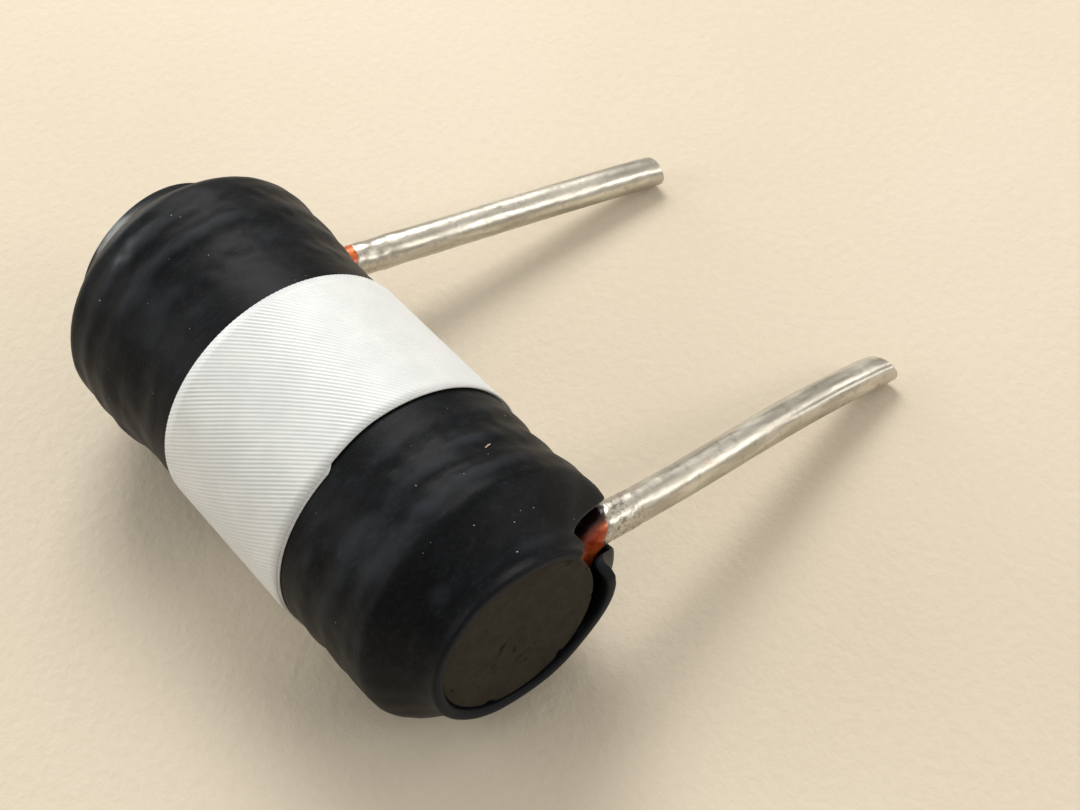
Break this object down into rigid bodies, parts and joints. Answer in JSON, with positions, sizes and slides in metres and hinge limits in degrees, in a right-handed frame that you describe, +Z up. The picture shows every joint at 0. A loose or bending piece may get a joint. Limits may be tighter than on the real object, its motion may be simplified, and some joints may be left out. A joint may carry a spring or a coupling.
{
  "type": "rod core choke",
  "caption": "Ferrite rod choke: a layer of thick enamelled copper wire in a black shrink sleeve, with a blank white label and tinned leads on the same side.",
  "frame": {"origin": "bottom centre of the whole part, on the surface that it lies on", "axes": "+Z up; the rod's axis along X with its front face towards +X; the leads point towards +Y"},
  "size_m": [0.0452, 0.0524, 0.0211],
  "materials": {
    "ferrite": "matt sintered ferrite, dark brown-grey, with light scuffs on the end face",
    "enamelled_copper": "glossy red-orange wire enamel over copper",
    "solder": "lumpy dipped tin solder, bright, copper showing faintly through in places",
    "sleeve": "satin black heat-shrink tubing, dusty, faintly rippled by the turns under it",
    "label_cloth": "white self-adhesive label cloth with a fine ribbed weave, satin"
  },
  "bodies": {
    "root": {"ferrite_rod": "ferrite", "winding": "enamelled_copper", "front_lead_solder": "solder", "rear_lead_solder": "solder", "shrink_sleeve": "sleeve", "label": "label_cloth"}
  },
  "joints": []
}
